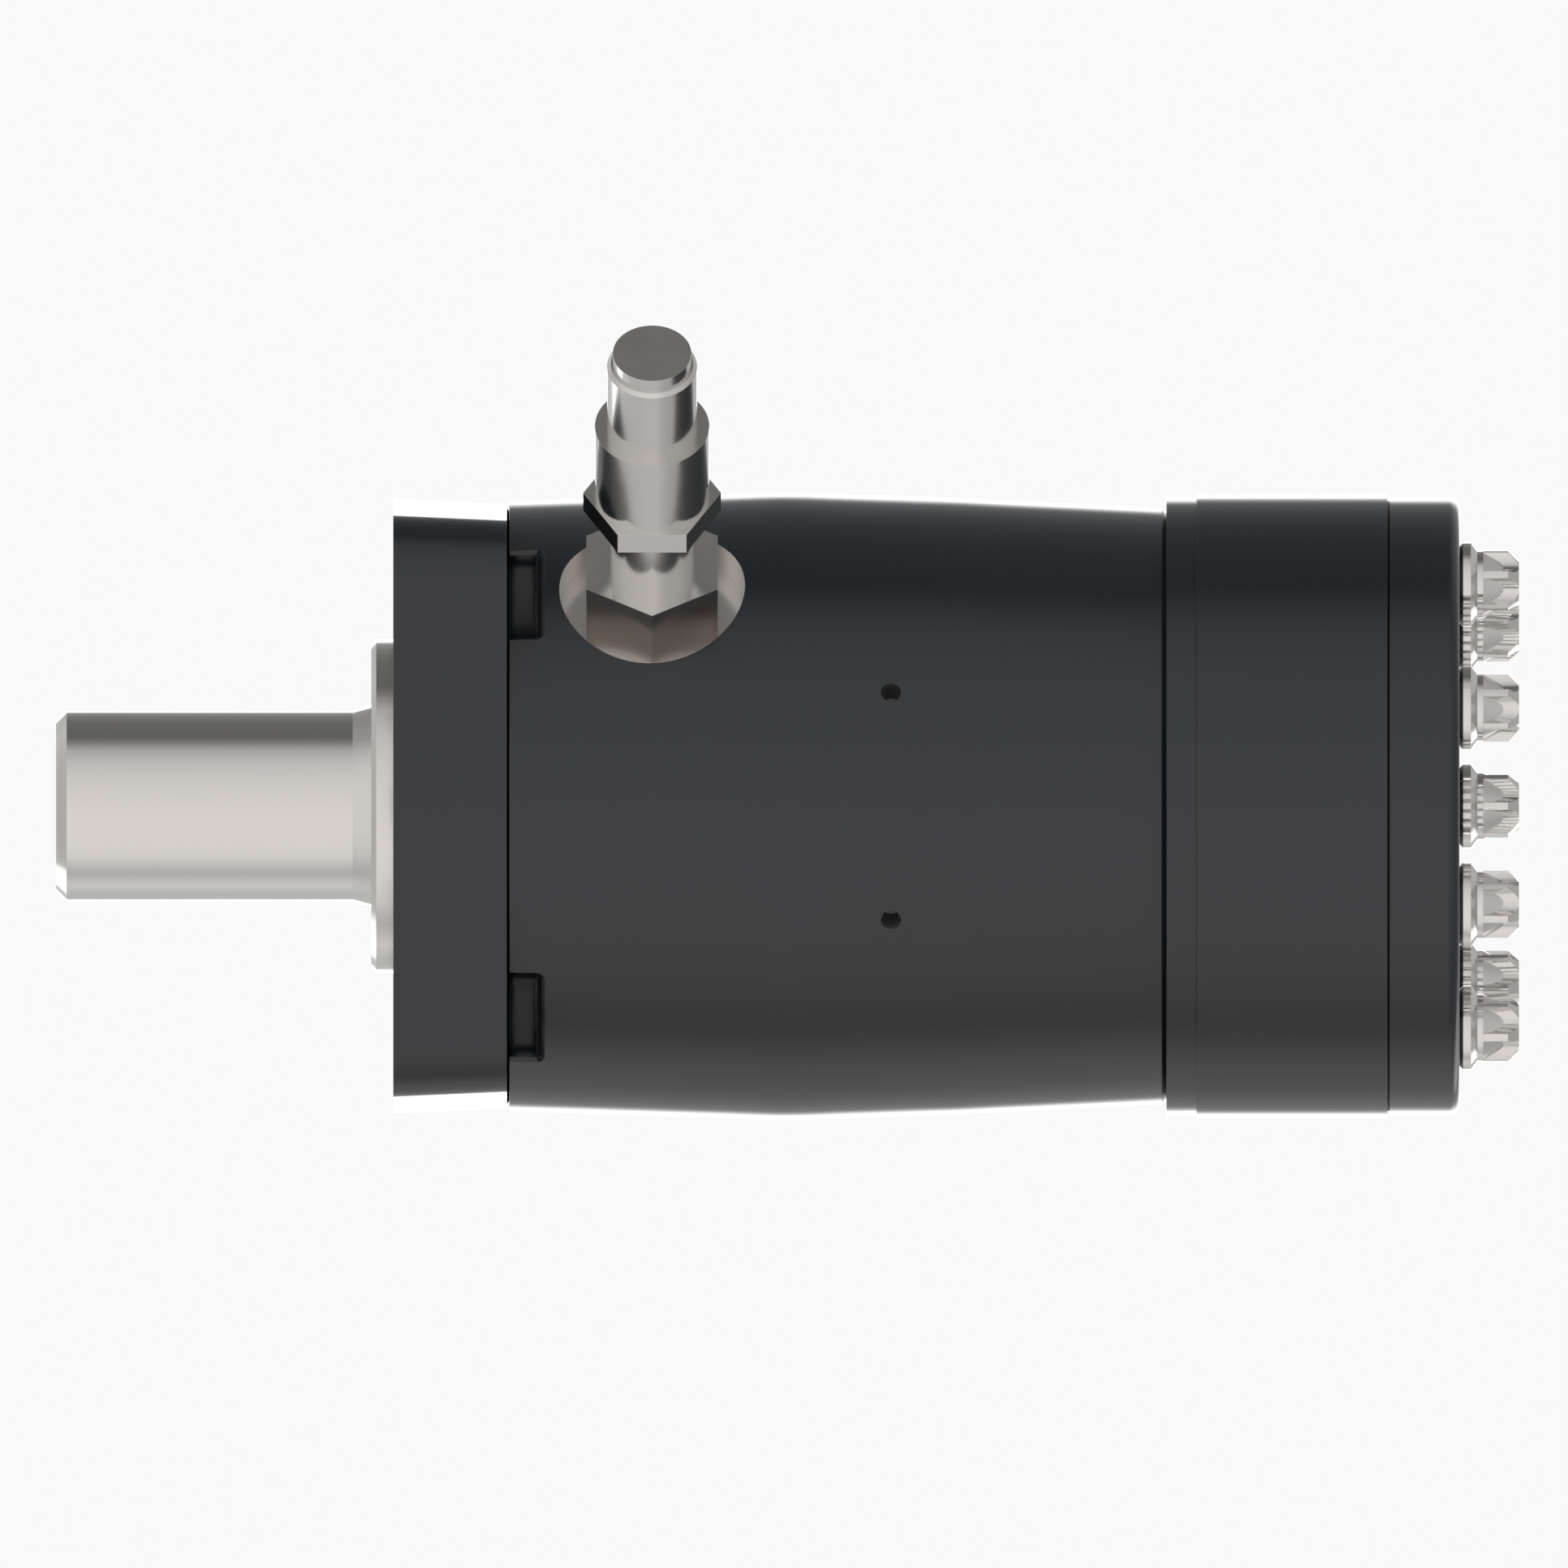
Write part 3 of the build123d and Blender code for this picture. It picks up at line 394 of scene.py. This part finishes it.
def make_joint_fill(material):
    """Painted shadow in the joint between the flange and the housing: four near-black arcs with a
    sloping rim.
    """
    section = ((JOINT_FRONT, JOINT_FLOOR), (JOINT_FRONT, JOINT_FRONT_RIM),
               (JOINT_BACK, JOINT_BACK_RIM), (JOINT_BACK, JOINT_FLOOR))
    sides = [(0, 1), (1, 2), (2, 3), (3, 0)]
    points, faces = [], []
    for start, sweep in JOINT_ARCS:
        first = len(points)
        for step in range(JOINT_STEPS + 1):
            angle = math.radians(start + sweep * step / JOINT_STEPS)
            across, up = math.cos(angle), math.sin(angle)
            points += [(x, radius * across, radius * up) for x, radius in section]
        for near in range(first, len(points) - 4, 4):
            faces += [(near + a, near + 4 + a, near + 4 + b, near + b) for a, b in sides]
        faces.append(tuple(range(first, first + 4)))
        faces.append(tuple(range(len(points) - 1, len(points) - 5, -1)))
    mesh = bpy.data.meshes.new("joint_shadow_fill")
    mesh.from_pydata(points, [], faces)
    mesh.materials.append(material)
    fill = bpy.data.objects.new("joint_shadow_fill", mesh)
    bpy.context.scene.collection.objects.link(fill)
    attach(fill, "motor_body")


def in_pilot(centre):
    """Whether a face of the flange lies on the pilot in front of it."""
    return centre.x < PILOT_BACK


def in_rebate(centre):
    """Whether a face of the cover lies in its narrow rebate against the ring."""
    return centre.x < REBATE_BACK


def from_port(centre):
    """A point's place by the nearer port's axis: how far out along it, and how far from it."""
    depth = abs(centre.y)
    outwards = math.sin(PORT_LEAN) * depth + math.cos(PORT_LEAN) * centre.z
    across = math.cos(PORT_LEAN) * depth - math.sin(PORT_LEAN) * centre.z
    return outwards, math.hypot(across, centre.x - PORT_STATION)


def in_port_pocket(centre):
    """Whether a face of the housing lies in the round machined pocket of either port."""
    outwards, reach = from_port(centre)
    return outwards > 0 and reach < POCKET_REACH


def on_flats(centre):
    """Whether a face of an adapter is one of its hexagon's six sides."""
    outwards, reach = from_port(centre)
    return outwards < FLATS_TOP and reach > FLATS_REACH


def from_pin_hole(centre):
    """A point's place by the nearer pin hole's axis: how far out along it, and how far from it."""
    height = abs(centre.z)
    outwards = height * math.sin(PIN_HOLE_LEAN) - centre.y * math.cos(PIN_HOLE_LEAN)
    across = height * math.cos(PIN_HOLE_LEAN) + centre.y * math.sin(PIN_HOLE_LEAN)
    return outwards, math.hypot(across, centre.x - PIN_HOLE_STATION)


def in_pin_hole(centre):
    """Whether a face of the housing lies inside one of the small blind holes."""
    outwards, reach = from_pin_hole(centre)
    return outwards > PIN_HOLE_FLOOR and reach < PIN_HOLE_REACH


def on_pin_hole_floor(centre):
    """Whether a face of the housing is the flat end of one of the small blind holes."""
    return in_pin_hole(centre) and from_pin_hole(centre)[0] < PIN_HOLE_FLOOR + PIN_FLOOR_SLACK


def bolt_reach(centre):
    """A point's distance from the axis of the nearest bolt hole."""
    return math.hypot(abs(centre.y) - BOLT_SPREAD, abs(centre.z) - BOLT_SPREAD)


def in_relief(centre):
    """Whether a face of the housing lies on the wall of a half-round relief behind a bolt hole."""
    return centre.x < RELIEF_FLOOR and bolt_reach(centre) < RELIEF_RADIUS


def on_relief_rim(centre):
    """Whether a face of the housing lies on a relief's floor or on the chamfer behind it."""
    return RELIEF_FLOOR < centre.x < RELIEF_RIM and bolt_reach(centre) < RELIEF_RADIUS


def in_rear_chamfer(centre):
    """Whether a face of the housing lies on the chamfer at its rear joint."""
    return centre.x > CHAMFER_FRONT and math.hypot(centre.y, centre.z) > CHAMFER_INSIDE


def dress(name, material, regions):
    """Give a CAD node its material, and another one to the faces that each region picks."""
    mesh = frame["nodes"][name].data
    mesh.materials.clear()
    for finish in (material, *regions.values()):
        mesh.materials.append(finish)
    for face in mesh.polygons:
        face.material_index = 0
        for index, picks in enumerate(regions, 1):
            if picks(face.center):
                face.material_index = index


make_room()
make_camera()
make_floor()

paint = charcoal_paint("charcoal_paint", PAINT)
# Painted light: a lighter paint on the housing's rear chamfer stands in for the light the joint
# catches
chamfer_lit_paint = charcoal_paint("chamfer_lit_paint", CHAMFER_LIGHT_PAINT)
# Painted shade: the relief walls get a lower gloss so they read darker, as shade in a recess; the
# wide rounding only softens their shading
relief_shade_paint = charcoal_paint("relief_shade_paint", PAINT, gloss=0.3, rounding=CAST_EDGE)
# Painted highlight: a lighter paint on the reliefs' floors and chamfers for the light their rounded
# rims catch
relief_rim_highlight = charcoal_paint("relief_rim_highlight", RELIEF_RIM_LIGHT)
# Painted light: lighter paint on the walls and a near-white paint on the floors of the small blind
# holes, for the light that falls into them
hole_wall_lit = charcoal_paint("hole_wall_lit", HOLE_WALL_LIGHT, gloss=0.3)
hole_floor_lit = charcoal_paint("hole_floor_lit", HOLE_FLOOR_LIGHT, gloss=0.3)
steel = turned_steel("bright_steel", STEEL_TINT, roughness=(0.1, 0.16), line_depth=0.05)
hard_steel = turned_steel("hardened_steel", HARD_TINT, roughness=(0.22, 0.32), line_depth=0.1)
key_steel = turned_steel("key_steel", KEY_TINT, roughness=(0.26, 0.36), line_depth=0.05)
fitting = plating("plated_fitting", STEEL_TINT, roughness=(0.16, 0.2))
screws = plating("plated_screws", STEEL_TINT, roughness=(0.06, 0.12))
milled = turned_steel("milled_steel", MILLED_TINT, roughness=(0.2, 0.24), line_depth=0.0)
# Painted reflection: the hexagons' sides get a darker, warmer plating colour for the dim brownish
# reflection they show
flats = plating("flats_painted_reflection", FLATS_REFLECTION_TINT, roughness=(0.16, 0.2))
black = joint_painted_shadow()

# Each node wears the finish of its slot in the record, apart from these nodes and regions
finishes = {"charcoal_paint": paint, "bright_steel": steel, "hardened_steel": hard_steel,
            "plated_fitting": fitting, "plated_screws": screws, "seal_rubber": seal_rubber()}
own_finishes = {"shaft_key": key_steel}
regions = {
    "mounting_flange": {in_pilot: steel},
    # Painted shade: the cover's rebate is coloured black where the joint lies in shadow
    "end_cover": {in_rebate: black},
    "port_adapter_a": {on_flats: flats},
    "port_adapter_b": {on_flats: flats},
    # On the housing: painted light in the rear chamfer, on the reliefs' rims and in the pin holes,
    # and painted shade on the relief walls
    "housing": {
        in_port_pocket: milled, in_pin_hole: hole_wall_lit, on_pin_hole_floor: hole_floor_lit,
        in_relief: relief_shade_paint, on_relief_rim: relief_rim_highlight, in_rear_chamfer: chamfer_lit_paint,
    },
}
for part in frame["record"]["subparts"]:
    name = part["node"]
    finish = own_finishes.get(name, finishes[part["material_slot"]])
    dress(name, finish, regions.get(name, {}))
# Painted shadow: a near-black fill in the joint behind the flange
make_joint_fill(black)

bpy.context.scene.view_settings.view_transform = "Standard"
